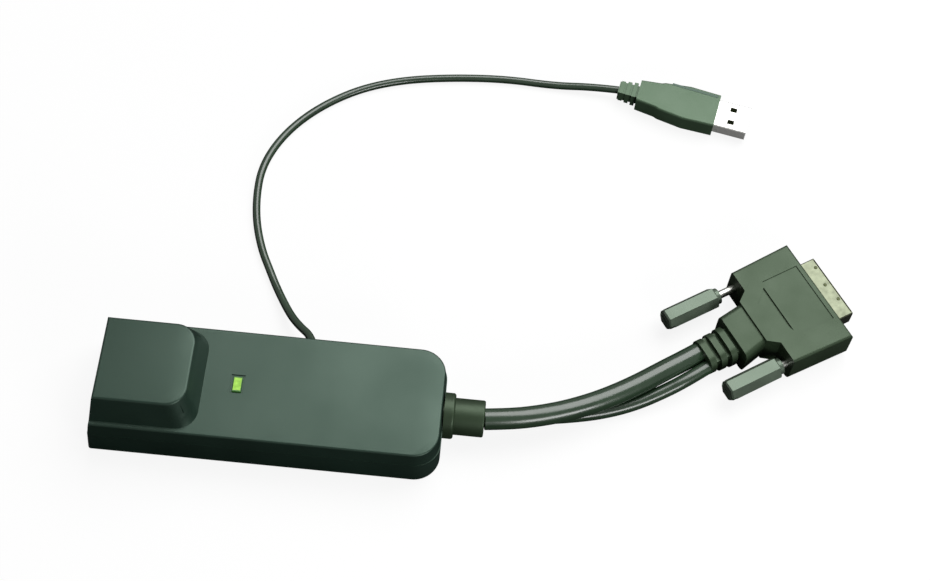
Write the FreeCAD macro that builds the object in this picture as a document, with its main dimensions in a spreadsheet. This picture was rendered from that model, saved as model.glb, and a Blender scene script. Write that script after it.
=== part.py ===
import FreeCAD, Part
import math
import os

import Sketcher
from FreeCAD import Placement, Rotation, Vector

# KVM dongle: a two-shell case with a network socket at its left end, a DVI plug on a twin cable at its
# right end and a USB plug on a thin cable behind it. Millimetres. The origin is under the middle of the
# case, on the surface it lies on: +X along the case to the twin cable, +Y to the back, +Z up.

SIZES = {
    # case shells
    "caseLength": 116.8, "caseWidth": 41.0, "bodyHeight": 17.6, "lowerHeight": 11.4, "caseWall": 2.0,
    "endRadius": 8.8, "cornerRadius": 0.9, "baseRound": 0.8, "topRound": 0.7,
    "upperStep": 0.15, "upperSlope": 5.0, "lowerLean": 5.2, "upperLean": 8.4,
    "lowerEndWall": 3.0, "upperEndWall": 3.8, "housingEndWall": 5.3,
    "housingLength": 36.8, "housingInset": 2.3, "housingRise": 10.4, "housingSlope": 17.6,
    "housingRadius": 7.5, "housingRound": 0.9,
    # case screws and the posts that take them
    "screwLeft": 44.0, "screwRight": 34.0, "screwSide": 13.0, "screwRadius": 1.2, "screwTip": 15.0,
    "headRadius": 2.3, "headDepth": 1.5, "headSeat": 3.0, "headGap": 0.2, "driveRadius": 0.9,
    "bossRadius": 3.4, "postRadius": 2.8, "postTop": 21.5, "driveDepth": 0.8,
    # main board
    "boardTop": 10.0, "boardSheet": 1.6, "boardRight": 39.0, "boardGap": 0.6, "boardSide": 2.0,
    "boardHole": 1.7,
    # network socket
    "socketWidth": 15.8, "socketHeight": 13.4, "socketDepth": 21.0, "socketFit": 0.25, "socketInset": 2.9,
    "shieldSheet": 0.3, "portWidth": 11.8, "portHeight": 6.8, "portDepth": 13.0, "portFloor": 4.2,
    "tabWidth": 6.2, "tabHeight": 1.8, "wireRadius": 0.25, "wirePitch": 1.02, "wireCount": 8.0,
    # indicator
    "lampX": 10.4, "lensWidth": 3.0, "lensLength": 5.6, "lensProud": 0.2, "lensFit": 0.1,
    "surroundWidth": 4.6, "surroundLength": 7.0, "surroundDepth": 0.4, "flangeEdge": 1.2,
    "flangeSheet": 0.8, "stemWidth": 2.4, "stemLength": 3.6, "ledLength": 3.2, "ledWidth": 1.6,
    "ledHeight": 1.1, "ledGap": 0.3,
    # parts on the board
    "magneticsLength": 9.0, "magneticsWidth": 13.0, "magneticsHeight": 4.6, "magneticsGap": 1.0,
    "videoChipSide": 14.0, "videoChipHeight": 1.4, "videoChipX": 6.0, "videoChipY": -6.0,
    "usbChipSide": 7.0, "usbChipHeight": 1.0, "usbChipX": 22.0, "usbChipY": 3.5,
    "memoryLength": 5.0, "memoryWidth": 6.2, "memoryHeight": 1.5, "memoryX": 24.0, "memoryY": -9.0,
    "crystalLength": 11.0, "crystalWidth": 4.6, "crystalHeight": 3.4, "crystalX": -12.0, "crystalY": -9.5,
    "capRadius": 2.5, "capHeight": 4.8, "capX": -20.0, "capSpacing": 6.4, "capY": 10.5,
    "coilSide": 5.0, "coilHeight": 2.6, "coilX": -1.5, "coilY": 10.0, "leadWidth": 0.3, "leadReach": 1.0,
    "leadPitch": 1.27,
    # video and USB headers with their plugs
    "videoHeaderX": 31.0, "videoHeaderDepth": 6.0, "videoHeaderWidth": 18.6, "headerHeight": 4.2,
    "videoPlugReach": 4.0, "plugEdge": 0.8, "usbHeaderY": 6.0, "usbHeaderDepth": 4.5,
    "usbHeaderWidth": 9.0, "usbPlugReach": 2.6, "videoLeadCount": 8.0, "videoLeadRadius": 0.45,
    "videoLeadPitch": 2.0, "videoLeadBunch": 1.05, "usbLeadCount": 4.0, "usbLeadRadius": 0.4,
    "usbLeadPitch": 1.9, "usbLeadBunch": 0.9, "usbLeadRise": 1.9, "leadGap": 0.2,
    # gland of the twin cable
    "glandHeight": 9.4, "neckRadius": 4.8, "glandFit": 0.1, "collarRadius": 7.7, "collarLength": 3.6,
    "collarRound": 0.9, "flangeRadius": 6.0, "flangeThick": 1.6, "sleeveRadius": 6.2, "sleeveLength": 10.0,
    "sleeveRound": 0.6,
    # twin cable: where each cable leaves the sleeve and meets the DVI plug
    "mainRadius": 3.65, "mainExitY": -1.1, "mainExitRise": 2.2, "mainPlugSide": 0.5,
    "secondRadius": 2.4, "secondExitY": 1.9, "secondExitRise": -3.2, "secondPlugSide": -5.65,
    # DVI plug: place of its front face on the axis, heading, and sizes
    "dviX": 184.8, "dviY": 61.1, "dviYaw": 33.3, "dviThick": 12.8, "dviWidth": 41.6, "dviRearWidth": 40.0,
    "dviBlock": 24.0, "dviRound": 1.2, "dviBaseRound": 2.2, "shoulderReach": 4.0, "shoulderFlare": 2.9,
    "dviNeckLength": 13.0, "dviNeckWidth": 17.2, "dviNeckRear": 18.0, "dviNeckThick": 11.2,
    "dviNeckRound": 2.2, "neckShift": 1.6, "reliefShift": 1.7, "ringCount": 3.0, "ringLength": 2.3,
    "ringStep": 3.95, "ringWidth": 13.4, "ringThick": 10.8, "ringTaper": 0.3, "reliefWidth": 10.0,
    "reliefThick": 6.6, "ringRound": 4.0,
    "panelBack": 16.5, "panelFront": 2.2, "panelHalf": 11.8, "panelDepth": 0.35,
    "gripBack": 22.8, "gripTip": 5.0, "gripDepth": 0.6, "gripHalf": 9.6, "gripGap": 0.9,
    "shellWidth": 25.0, "shellHeight": 8.8, "shellReach": 6.0, "shellSeat": 8.0, "shellSheet": 0.45,
    "shellCorner": 2.6, "shellBend": 0.6, "insulatorFace": 0.8,
    "pinRows": 3.0, "pinColumns": 8.0, "pinPitch": 1.905, "pinSide": 0.6, "pinReach": 5.0,
    "pinTail": 6.0, "pinShift": 3.4, "bladeY": 8.6, "bladeWidth": 5.6, "bladeSheet": 1.0,
    # thumbscrews: the far one stands pulled back, the near one pushed in
    "screwSpacing": 33.3, "rodRadius": 1.42, "rodFit": 0.1, "knobRadius": 4.0, "knobLength": 21.8,
    "knobShoulder": 1.4, "knobShoulderRadius": 2.9, "knobBore": 9.0, "slotWidth": 1.2, "slotDepth": 1.8,
    "farKnobGap": 6.8, "nearKnobGap": 2.4, "rodReach": 28.0, "rodPoint": 0.5, "clipOuter": 2.7,
    "clipSheet": 0.8, "clipGroove": 1.0, "clipPlay": 0.12, "clipFit": 0.08, "clipMouth": 1.5,
    "clipRoom": 3.1, "clipRoomLength": 8.6, "clipBack": 14.4, "clipStop": 2.6,
    # USB plug: place of its tip on the axis, heading, and sizes
    "usbX": 160.7, "usbY": 135.35, "usbYaw": -11.5, "usbThick": 7.2, "usbFrontHalf": 7.4,
    "usbWaistHalf": 7.8, "usbStepHalf": 5.9, "usbRearHalf": 4.9, "usbWaist": 24.0, "usbStep": 33.5,
    "usbStepLength": 1.4, "usbCoverBack": 42.5, "usbRound": 0.8, "usbBaseRound": 1.3,
    "usbCableRadius": 1.4, "usbRingCount": 3.0, "usbRingLength": 1.5, "usbRingStep": 2.4,
    "usbRingWidth": 6.6, "usbRingThick": 5.6, "usbReliefWidth": 5.2, "usbReliefThick": 4.2,
    "usbReliefLength": 7.5,
    "usbShellReach": 12.3, "usbShellSeat": 6.0, "usbShellWidth": 12.0, "usbShellHeight": 4.5,
    "usbShellSheet": 0.3, "usbShellBend": 0.5, "windowLength": 2.5, "windowWidth": 2.0, "windowX": 6.4,
    "windowSide": 2.9, "tongueThick": 1.84, "tongueSide": 0.1, "tongueTip": 0.8, "contactSheet": 0.2,
    "contactWidth": 1.0, "contactLength": 8.0, "contactOuter": 3.5, "contactInner": 1.0,
    # rear grommet of the USB cable
    "grommetX": 11.9, "grommetRadius": 2.9, "grommetHead": 3.6, "grommetHeadThick": 1.2,
    "grommetFlange": 3.8, "grommetFlangeThick": 1.2,
}

# Points that the cables bend at, from the case to the plug: x, y and height of the centre line.
MAIN_BENDS = [(80.4, 0.0, 11.4), (89.9, 2.4, 10.8), (99.9, 6.0, 10.0), (110.9, 11.4, 9.1),
              (121.9, 18.4, 8.2), (132.2, 26.2, 7.3), (138.0, 30.4, 6.8)]
SECOND_BENDS = [(78.9, 2.4, 5.7), (89.4, 4.8, 4.4), (100.4, 7.2, 3.1), (111.4, 9.9, 2.8),
                (122.4, 14.0, 3.2), (132.7, 19.5, 4.6), (140.4, 24.3, 6.1)]
USB_BENDS = [(10.2, 25.6, 8.6), (6.5, 29.4, 6.6), (2.7, 34.2, 4.6), (-0.9, 40.4, 2.7), (-4.8, 47.6, 1.5),
             (-8.1, 54.3, 1.4), (-11.8, 61.8, 1.4), (-15.3, 72.8, 1.4), (-16.9, 84.4, 1.4),
             (-16.7, 96.2, 1.4), (-12.8, 107.8, 1.4), (-5.7, 118.8, 1.4), (4.3, 128.6, 1.4),
             (16.5, 136.6, 1.4), (31.3, 142.0, 1.4), (49.3, 145.2, 1.4), (68.9, 146.9, 1.4),
             (87.5, 146.0, 1.4), (102.0, 146.1, 2.9)]

os.makedirs("parts", exist_ok=True)
doc = FreeCAD.newDocument("KvmDongle")
sheet = doc.addObject("Spreadsheet::Sheet", "Sizes")
for row, (name, value) in enumerate(SIZES.items(), start=1):
    sheet.set("A%d" % row, name)
    sheet.set("B%d" % row, str(value))
    sheet.setAlias("B%d" % row, name)
doc.recompute()


class Size:
    """A number together with the formula on the sheet that gives it."""

    def __init__(self, number, formula):
        self.number = number
        self.formula = formula

    def joined(self, other, sign, number):
        return Size(number, "(%s %s %s)" % (self.formula, sign, other.formula))

    def __add__(self, other):
        other = asSize(other)
        return self.joined(other, "+", self.number + other.number)

    def __sub__(self, other):
        other = asSize(other)
        return self.joined(other, "-", self.number - other.number)

    def __mul__(self, other):
        other = asSize(other)
        return self.joined(other, "*", self.number * other.number)

    def __truediv__(self, other):
        other = asSize(other)
        return self.joined(other, "/", self.number / other.number)

    def __radd__(self, other):
        return asSize(other) + self

    def __rsub__(self, other):
        return asSize(other) - self

    def __rmul__(self, other):
        return asSize(other) * self

    def __neg__(self):
        return Size(-self.number, "(0 - %s)" % self.formula)

    def __float__(self):
        return self.number


def asSize(value):
    return value if isinstance(value, Size) else Size(float(value), repr(float(value)))


def tangent(angle):
    return Size(math.tan(math.radians(angle.number)), "tan(%s * 1 deg)" % angle.formula)


def cosine(angle):
    return Size(math.cos(math.radians(angle.number)), "cos(%s * 1 deg)" % angle.formula)


def sine(angle):
    return Size(math.sin(math.radians(angle.number)), "sin(%s * 1 deg)" % angle.formula)


class Sheet:
    """The sheet's cells as attributes."""

    def __getattr__(self, name):
        return Size(float(sheet.get(name)), "Sizes." + name)


mm = Sheet()
nodes = []
count = {"features": 0}
AXES = {"x": Rotation(Vector(0, 1, 0), 90), "y": Rotation(Vector(1, 0, 0), -90), "z": Rotation()}


def bind(thing, prop, value):
    value = asSize(value)
    if "Sizes." in value.formula:
        thing.setExpression(prop, value.formula)


def setSizes(thing, **sizes):
    for prop, value in sizes.items():
        setattr(thing, prop, float(asSize(value)))
        bind(thing, prop, value)


def setPlace(thing, at, rotation=None):
    at = [asSize(value) for value in at]
    thing.Placement = Placement(Vector(*[float(value) for value in at]), rotation or Rotation())
    for axis, value in zip("xyz", at):
        bind(thing, "Placement.Base." + axis, value)


def setPlugPlace(thing, x, y, z, yaw):
    setPlace(thing, (x, y, z), Rotation(Vector(0, 0, 1), float(yaw)))
    bind(thing, "Placement.Rotation.Angle", yaw)


def keep(thing, node):
    thing.Label = node
    nodes.append(thing)
    return thing


def uniqueName(word):
    count["features"] += 1
    return "%s_%d" % (word, count["features"])


class Piece:
    """One PartDesign body, grown a feature at a time in its own axes."""

    def __init__(self, node):
        self.body = doc.addObject("PartDesign::Body", node)
        keep(self.body, node)

    def feature(self, kind, word):
        return self.body.newObject("PartDesign::" + kind, uniqueName(word))

    def sketch(self, word, corners, height, role="XY_Plane"):
        """A closed outline of straight lines, each corner held by its two sizes."""
        sketch = self.body.newObject("Sketcher::SketchObject", uniqueName(word))
        plane = [item for item in self.body.Origin.OriginFeatures if item.Role == role][0]
        sketch.AttachmentSupport = [(plane, "")]
        sketch.MapMode = "FlatFace"
        corners = [(asSize(a), asSize(b)) for a, b in corners]
        ends = [Vector(float(a), float(b), 0) for a, b in corners]
        for start, end in zip(ends, ends[1:] + ends[:1]):
            sketch.addGeometry(Part.LineSegment(start, end), False)
        for index in range(len(ends)):
            following = (index + 1) % len(ends)
            sketch.addConstraint(Sketcher.Constraint("Coincident", index, 2, following, 1))
        for index, corner in enumerate(corners):
            for kind, letter, value in zip(("DistanceX", "DistanceY"), "xy", corner):
                held = sketch.addConstraint(Sketcher.Constraint(kind, -1, 1, index, 1, float(value)))
                sketch.renameConstraint(held, "%s%d" % (letter, index))
                bind(sketch, "Constraints.%s%d" % (letter, index), value)
        height = asSize(height)
        sketch.AttachmentOffset = Placement(Vector(0, 0, float(height)), Rotation())
        bind(sketch, "AttachmentOffset.Base.z", height)
        return sketch

    def pad(self, word, corners, height, length, taper=None):
        sketch = self.sketch(word + "Outline", corners, height)
        pad = self.feature("Pad", word)
        pad.Profile = sketch
        setSizes(pad, Length=length)
        if taper is not None:
            setSizes(pad, TaperAngle=taper)
        doc.recompute()
        return pad

    def pocket(self, word, corners, height, length, upward=False, taper=None):
        """Cuts an outline away, and makes sure that it cut something."""
        before = self.body.Shape.Volume
        sketch = self.sketch(word + "Outline", corners, height)
        pocket = self.feature("Pocket", word)
        pocket.Profile = sketch
        pocket.Reversed = upward
        setSizes(pocket, Length=length)
        if taper is not None:
            setSizes(pocket, TaperAngle=taper)
        doc.recompute()
        if self.body.Shape.Volume > before - 1e-6:
            raise RuntimeError(word + " cut nothing")
        return pocket

    def box(self, word, low, high, cut=False):
        box = self.feature("SubtractiveBox" if cut else "AdditiveBox", word)
        low = [asSize(value) for value in low]
        high = [asSize(value) for value in high]
        setSizes(box, Length=high[0] - low[0], Width=high[1] - low[1], Height=high[2] - low[2])
        setPlace(box, low)
        return box

    def rod(self, word, at, radius, length, axis="z", cut=False):
        rod = self.feature("SubtractiveCylinder" if cut else "AdditiveCylinder", word)
        setSizes(rod, Radius=radius, Height=length)
        setPlace(rod, at, AXES[axis])
        return rod

    def edges(self, chosen):
        doc.recompute()
        names = []
        for index, edge in enumerate(self.body.Tip.Shape.Edges, start=1):
            if chosen(edge.BoundBox):
                names.append("Edge%d" % index)
        return names

    def dress(self, kind, word, size, chosen):
        names = self.edges(chosen)
        if not names:
            raise RuntimeError(word + " found no edge")
        base = self.body.Tip
        dress = self.feature(kind, word)
        dress.Base = (base, names)
        setSizes(dress, **{"Radius" if kind == "Fillet" else "Size": size})
        doc.recompute()
        if "Invalid" in dress.State:
            raise RuntimeError("%s: %s" % (word, dress.getStatusString()))
        return dress

    def rounded(self, word, radius, chosen):
        return self.dress("Fillet", word, radius, chosen)

    def bevelled(self, word, size, chosen):
        return self.dress("Chamfer", word, size, chosen)

    def leaningEnd(self, word, x, z, lean):
        """Cuts away what lies left of a plane that passes through x at height z and leans to the right."""
        long = 30
        deep = 40
        block = self.feature("SubtractiveBox", word)
        setSizes(block, Length=long, Width=mm.caseWidth + 4, Height=deep * 2)
        corner = (x - cosine(lean) * long - sine(lean) * deep, -mm.caseWidth / 2 - 2,
                  z + sine(lean) * long - cosine(lean) * deep)
        setPlace(block, corner, Rotation(Vector(0, 1, 0), float(lean)))
        bind(block, "Placement.Rotation.Angle", lean)


def rectangle(x0, x1, y0, y1):
    return [(x0, y0), (x1, y0), (x1, y1), (x0, y1)]


def near(value, target, slack=0.05):
    return abs(value - float(target)) < slack


def boxNode(node, low, high):
    """A plain rectangular piece."""
    box = doc.addObject("Part::Box", node)
    low = [asSize(value) for value in low]
    high = [asSize(value) for value in high]
    setSizes(box, Length=high[0] - low[0], Width=high[1] - low[1], Height=high[2] - low[2])
    setPlace(box, low)
    return keep(box, node)


def helperBox(low, high):
    box = doc.addObject("Part::Box", uniqueName("block"))
    low = [asSize(value) for value in low]
    high = [asSize(value) for value in high]
    setSizes(box, Length=high[0] - low[0], Width=high[1] - low[1], Height=high[2] - low[2])
    setPlace(box, low)
    return box


def helperCylinder(at, radius, length, axis="z"):
    cylinder = doc.addObject("Part::Cylinder", uniqueName("round"))
    setSizes(cylinder, Radius=radius, Height=length)
    setPlace(cylinder, at, AXES[axis])
    return cylinder


def joined(parts, word="joined"):
    fuse = doc.addObject("Part::MultiFuse", uniqueName(word))
    fuse.Shapes = parts
    return fuse


def cutAway(base, tool, word="cut"):
    cut = doc.addObject("Part::Cut", uniqueName(word))
    cut.Base = base
    cut.Tool = tool
    return cut


def group(node, parts):
    """Like pieces that share one node as separate solids."""
    compound = doc.addObject("Part::Compound", node)
    compound.Links = parts
    return keep(compound, node)


def shapeNode(node, shape):
    thing = doc.addObject("Part::Feature", node)
    thing.Shape = shape
    return keep(thing, node)


# ---- where things stand, worked out from the sheet
leftEnd = -mm.caseLength / 2
rightEnd = mm.caseLength / 2
backWall = mm.caseWidth / 2
boardFloor = mm.boardTop - mm.boardSheet
roof = mm.bodyHeight - mm.caseWall
housingTop = mm.bodyHeight + mm.housingRise
housingRoof = housingTop - mm.caseWall
housingFoot = leftEnd + mm.housingLength
socketFront = leftEnd + mm.socketInset
socketBack = socketFront + mm.socketDepth
sleeveEnd = rightEnd + mm.collarLength + mm.sleeveLength
dviAxis = mm.dviThick / 2
usbAxis = mm.usbThick / 2
screwSpots = [(-mm.screwLeft, -mm.screwSide), (-mm.screwLeft, mm.screwSide),
              (mm.screwRight, -mm.screwSide), (mm.screwRight, mm.screwSide)]


def cutCaseOpenings(shell):
    """The socket's window and the round holes of both cable entries, shared by the two shells."""
    shell.box("socketWindow", (leftEnd - 1, -mm.socketWidth / 2 - mm.socketFit, mm.boardTop - mm.socketFit),
              (leftEnd + mm.housingEndWall + 1, mm.socketWidth / 2 + mm.socketFit,
               mm.boardTop + mm.socketHeight + mm.socketFit), cut=True)
    shell.rod("glandHole", (rightEnd - mm.caseWall - 1, 0, mm.glandHeight), mm.neckRadius + mm.glandFit,
              mm.caseWall + 2, "x", cut=True)
    shell.rod("grommetHole", (mm.grommetX, backWall - mm.caseWall - 1, mm.glandHeight),
              mm.grommetRadius + mm.glandFit, mm.caseWall + 2, "y", cut=True)


def makeLowerCase():
    shell = Piece("lower_case")
    shell.pad("tray", rectangle(leftEnd, rightEnd, -backWall, backWall), 0, mm.lowerHeight)
    shell.pocket("hollow", rectangle(leftEnd + mm.lowerEndWall, rightEnd - mm.caseWall,
                                     -backWall + mm.caseWall, backWall - mm.caseWall),
                 mm.lowerHeight, mm.lowerHeight - mm.caseWall)
    inner = rightEnd - mm.caseWall
    shell.rounded("hollowCorners", mm.endRadius - mm.caseWall,
                  lambda e: near(e.XMin, inner) and near(e.XMax, inner) and e.ZLength > 5)
    shell.rounded("endCorners", mm.endRadius, lambda e: near(e.XMin, rightEnd) and e.ZLength > 5)
    shell.leaningEnd("leftFace", leftEnd, 0, mm.lowerLean)
    shell.rounded("squareCorners", mm.cornerRadius,
                  lambda e: e.XMax < float(leftEnd) + 1.5 and e.ZLength > 5)
    shell.rounded("baseEdge", mm.baseRound, lambda e: near(e.ZMax, 0))
    for x, y in screwSpots:
        shell.rod("boss", (x, y, 0), mm.bossRadius, boardFloor)
        shell.rod("headRecess", (x, y, 0), mm.headRadius + mm.headGap, mm.headSeat, cut=True)
        shell.rod("screwHole", (x, y, 0), mm.screwRadius + mm.headGap, boardFloor, cut=True)
    cutCaseOpenings(shell)
    shell.box("glandSlot", (rightEnd - mm.caseWall - 1, -mm.neckRadius - mm.glandFit, mm.glandHeight),
              (rightEnd + 1, mm.neckRadius + mm.glandFit, mm.lowerHeight), cut=True)
    reach = mm.grommetRadius + mm.glandFit
    shell.box("grommetSlot", (mm.grommetX - reach, backWall - mm.caseWall - 1, mm.glandHeight),
              (mm.grommetX + reach, backWall + 1, mm.lowerHeight), cut=True)


def makeUpperCase():
    shell = Piece("upper_case")
    over = mm.caseWall
    inset = mm.upperStep
    shell.pad("lid", rectangle(leftEnd - over, rightEnd - inset, -backWall + inset, backWall - inset),
              mm.lowerHeight, mm.bodyHeight - mm.lowerHeight, -mm.upperSlope)
    shell.pocket("hollow", rectangle(leftEnd + mm.upperEndWall, rightEnd - mm.caseWall,
                                     -backWall + mm.caseWall, backWall - mm.caseWall),
                 mm.lowerHeight, roof - mm.lowerHeight, upward=True)
    inner = rightEnd - mm.caseWall
    shell.rounded("hollowCorners", mm.endRadius - mm.caseWall,
                  lambda e: near(e.XMin, inner) and near(e.XMax, inner) and e.ZLength > 3)
    shell.rounded("endCorners", mm.endRadius,
                  lambda e: e.XMin > float(inner) + 0.5 and e.ZLength > 5)
    half = backWall - mm.housingInset
    shell.pad("housing", rectangle(leftEnd - 5 * over, housingFoot, -half, half), mm.bodyHeight,
              mm.housingRise, -mm.housingSlope)
    shell.rounded("housingCorners", mm.housingRadius,
                  lambda e: near(e.ZMin, mm.bodyHeight) and e.ZLength > 5 and e.XMax > -40)
    shell.leaningEnd("leftFace", leftEnd + mm.lowerHeight * tangent(mm.lowerLean) + inset, mm.lowerHeight,
                     mm.upperLean)
    shell.rounded("housingEdge", mm.housingRound, lambda e: near(e.ZMin, housingTop))
    slope = mm.housingSlope
    rim = mm.caseWall / cosine(slope)
    drop = mm.caseWall * tangent(slope)
    wide = half - rim + drop
    shell.pocket("housingHollow", rectangle(leftEnd + mm.housingEndWall, housingFoot - rim + drop,
                                            -wide, wide),
                 roof, housingRoof - roof, upward=True, taper=-slope)
    narrow = wide - (housingRoof - roof) * tangent(slope)
    sketchAndPadX(shell, "endHollow", [(-wide, roof), (wide, roof), (narrow, housingRoof),
                                       (-narrow, housingRoof)],
                  leftEnd + mm.housingEndWall, mm.socketDepth / 2, cut=True)
    shell.rounded("topEdge", mm.topRound,
                  lambda e: near(e.ZMin, mm.bodyHeight) and near(e.ZMax, mm.bodyHeight)
                  and (e.YMax < -float(half) - 0.5 or e.YMin > float(half) + 0.5
                       or e.XMin > float(rightEnd - mm.endRadius) - 2) and e.XMax > float(leftEnd) + 4)
    for x, y in screwSpots:
        top = mm.postTop if float(x) < float(housingFoot) else roof + mm.caseWall / 2
        shell.rod("post", (x, y, mm.boardTop), mm.postRadius, top - mm.boardTop)
        shell.rod("pilot", (x, y, mm.boardTop), mm.screwRadius, mm.screwTip - mm.boardTop, cut=True)
    cutCaseOpenings(shell)
    wide = mm.lensWidth / 2 + mm.lensFit
    long = mm.lensLength / 2 + mm.lensFit
    shell.box("lensHole", (-mm.lampX - wide, -long, roof - 1), (-mm.lampX + wide, long, mm.bodyHeight + 1),
              cut=True)
    shell.box("surround", (-mm.lampX - mm.surroundWidth / 2, -mm.surroundLength / 2,
                           mm.bodyHeight - mm.surroundDepth),
              (-mm.lampX + mm.surroundWidth / 2, mm.surroundLength / 2, mm.bodyHeight + 1), cut=True)


def makeIndicator():
    lens = Piece("indicator_lens")
    x = -mm.lampX
    wide = mm.lensWidth / 2
    long = mm.lensLength / 2
    lens.box("window", (x - wide, -long, roof), (x + wide, long, mm.bodyHeight + mm.lensProud))
    lens.box("flange", (x - wide - mm.flangeEdge, -long - mm.flangeEdge, roof - mm.flangeSheet),
             (x + wide + mm.flangeEdge, long + mm.flangeEdge, roof))
    ledTop = mm.boardTop + mm.ledHeight
    lens.box("stem", (x - mm.stemWidth / 2, -mm.stemLength / 2, ledTop + mm.ledGap),
             (x + mm.stemWidth / 2, mm.stemLength / 2, roof))
    lens.rounded("windowEdge", mm.lensProud * 0.9,
                 lambda e: near(e.ZMin, mm.bodyHeight + mm.lensProud))
    boxNode("indicator_led", (x - mm.ledWidth / 2, -mm.ledLength / 2, mm.boardTop),
            (x + mm.ledWidth / 2, mm.ledLength / 2, ledTop))


def makeBoard():
    board = Piece("main_board")
    side = backWall - mm.caseWall - mm.boardSide
    board.pad("sheet", rectangle(leftEnd + mm.lowerEndWall + mm.boardGap, mm.boardRight, -side, side),
              boardFloor, mm.boardSheet)
    for x, y in screwSpots:
        board.rod("hole", (x, y, boardFloor), mm.boardHole, mm.boardSheet, cut=True)


def makeSocket():
    half = mm.socketWidth / 2
    shieldWall = mm.shieldSheet
    top = mm.boardTop + mm.socketHeight
    portBase = mm.boardTop + mm.portFloor
    shield = Piece("socket_shield")
    shield.box("can", (socketFront, -half, mm.boardTop), (socketBack, half, top))
    shield.box("inside", (socketFront + shieldWall, -half + shieldWall, mm.boardTop - 1),
               (socketBack - shieldWall, half - shieldWall, top - shieldWall), cut=True)
    shield.box("port", (socketFront - 1, -mm.portWidth / 2, portBase),
               (socketFront + 1, mm.portWidth / 2, portBase + mm.portHeight), cut=True)
    shield.box("tabSlot", (socketFront - 1, -mm.tabWidth / 2, portBase - mm.tabHeight),
               (socketFront + 1, mm.tabWidth / 2, portBase), cut=True)
    housing = Piece("network_socket")
    front = socketFront + shieldWall
    housing.box("block", (front, -half + shieldWall, mm.boardTop),
                (socketBack - shieldWall, half - shieldWall, top - shieldWall))
    housing.box("port", (front - 1, -mm.portWidth / 2, portBase),
                (front + mm.portDepth, mm.portWidth / 2, portBase + mm.portHeight), cut=True)
    housing.box("tabSlot", (front - 1, -mm.tabWidth / 2, portBase - mm.tabHeight),
                (front + mm.portDepth, mm.tabWidth / 2, portBase), cut=True)
    wires = []
    back = front + mm.portDepth
    ceiling = portBase + mm.portHeight
    for index in range(int(mm.wireCount.number)):
        y = float(mm.wirePitch) * (index - (mm.wireCount.number - 1) / 2)
        radius = float(mm.wireRadius)
        run = Vector(float(-mm.portDepth) * 0.72, 0, float(-mm.portHeight) * 0.22)
        start = Vector(float(back), y, float(ceiling) - radius * 1.2)
        wires.append(Part.makeCylinder(radius, run.Length, start, run))
    shapeNode("socket_contacts", Part.makeCompound(wires))


def leadedChip(node, x, y, side, height, sides=4):
    """A flat chip with a row of gull-wing legs on each leaded side, in one node."""
    body = Part.makeBox(side[0], side[1], height, Vector(x - side[0] / 2, y - side[1] / 2, 0.12))
    legs = []
    pitch = mm.leadPitch.number
    width = mm.leadWidth.number
    reach = mm.leadReach.number
    for axis in range(2 if sides == 4 else 1):
        along = side[axis]
        for index in range(int(along / pitch) - 1):
            offset = pitch * (index - (int(along / pitch) - 2) / 2) - width / 2
            for sign in (-1, 1):
                edge = side[1 - axis] / 2
                low = edge if sign > 0 else -edge - reach
                if axis == 0:
                    legs.append(Part.makeBox(width, reach, 0.3, Vector(x + offset, y + low, 0)))
                else:
                    legs.append(Part.makeBox(reach, width, 0.3, Vector(x + low, y + offset, 0)))
    chip = body.multiFuse(legs)
    chip.translate(Vector(0, 0, mm.boardTop.number))
    shapeNode(node, chip)


def makeBoardParts():
    leadedChip("video_chip", float(mm.videoChipX), float(mm.videoChipY),
               (float(mm.videoChipSide), float(mm.videoChipSide)), float(mm.videoChipHeight))
    leadedChip("usb_chip", float(mm.usbChipX), float(mm.usbChipY),
               (float(mm.usbChipSide), float(mm.usbChipSide)), float(mm.usbChipHeight))
    leadedChip("memory_chip", float(mm.memoryX), float(mm.memoryY),
               (float(mm.memoryLength), float(mm.memoryWidth)), float(mm.memoryHeight), sides=2)
    magnetics = Piece("network_magnetics")
    left = socketBack + mm.magneticsGap
    magnetics.box("case", (left, -mm.magneticsWidth / 2, mm.boardTop),
                  (left + mm.magneticsLength, mm.magneticsWidth / 2, mm.boardTop + mm.magneticsHeight))
    magnetics.rounded("edges", 0.4, lambda e: near(e.ZMin, mm.boardTop + mm.magneticsHeight))
    crystal = Piece("crystal")
    crystal.box("can", (mm.crystalX - mm.crystalLength / 2, mm.crystalY - mm.crystalWidth / 2, mm.boardTop),
                (mm.crystalX + mm.crystalLength / 2, mm.crystalY + mm.crystalWidth / 2,
                 mm.boardTop + mm.crystalHeight))
    crystal.rounded("ends", mm.crystalWidth * 0.48, lambda e: e.ZLength > 2)
    caps = []
    for index in range(3):
        x = mm.capX + mm.capSpacing * index
        caps.append(helperCylinder((x, mm.capY, mm.boardTop), mm.capRadius, mm.capHeight))
    group("capacitors", caps)
    coil = Piece("power_coil")
    coil.box("block", (mm.coilX - mm.coilSide / 2, mm.coilY - mm.coilSide / 2, mm.boardTop),
             (mm.coilX + mm.coilSide / 2, mm.coilY + mm.coilSide / 2, mm.boardTop + mm.coilHeight))
    coil.rounded("corners", 0.8, lambda e: e.ZLength > 2)


def leadBundle(node, starts, ends, radius):
    leads = []
    for start, end in zip(starts, ends):
        run = end - start
        gap = run * (mm.leadGap.number / run.Length)
        leads.append(Part.makeCylinder(radius, run.Length - 2 * gap.Length, start + gap, run))
    shapeNode(node, Part.makeCompound(leads))


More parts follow.
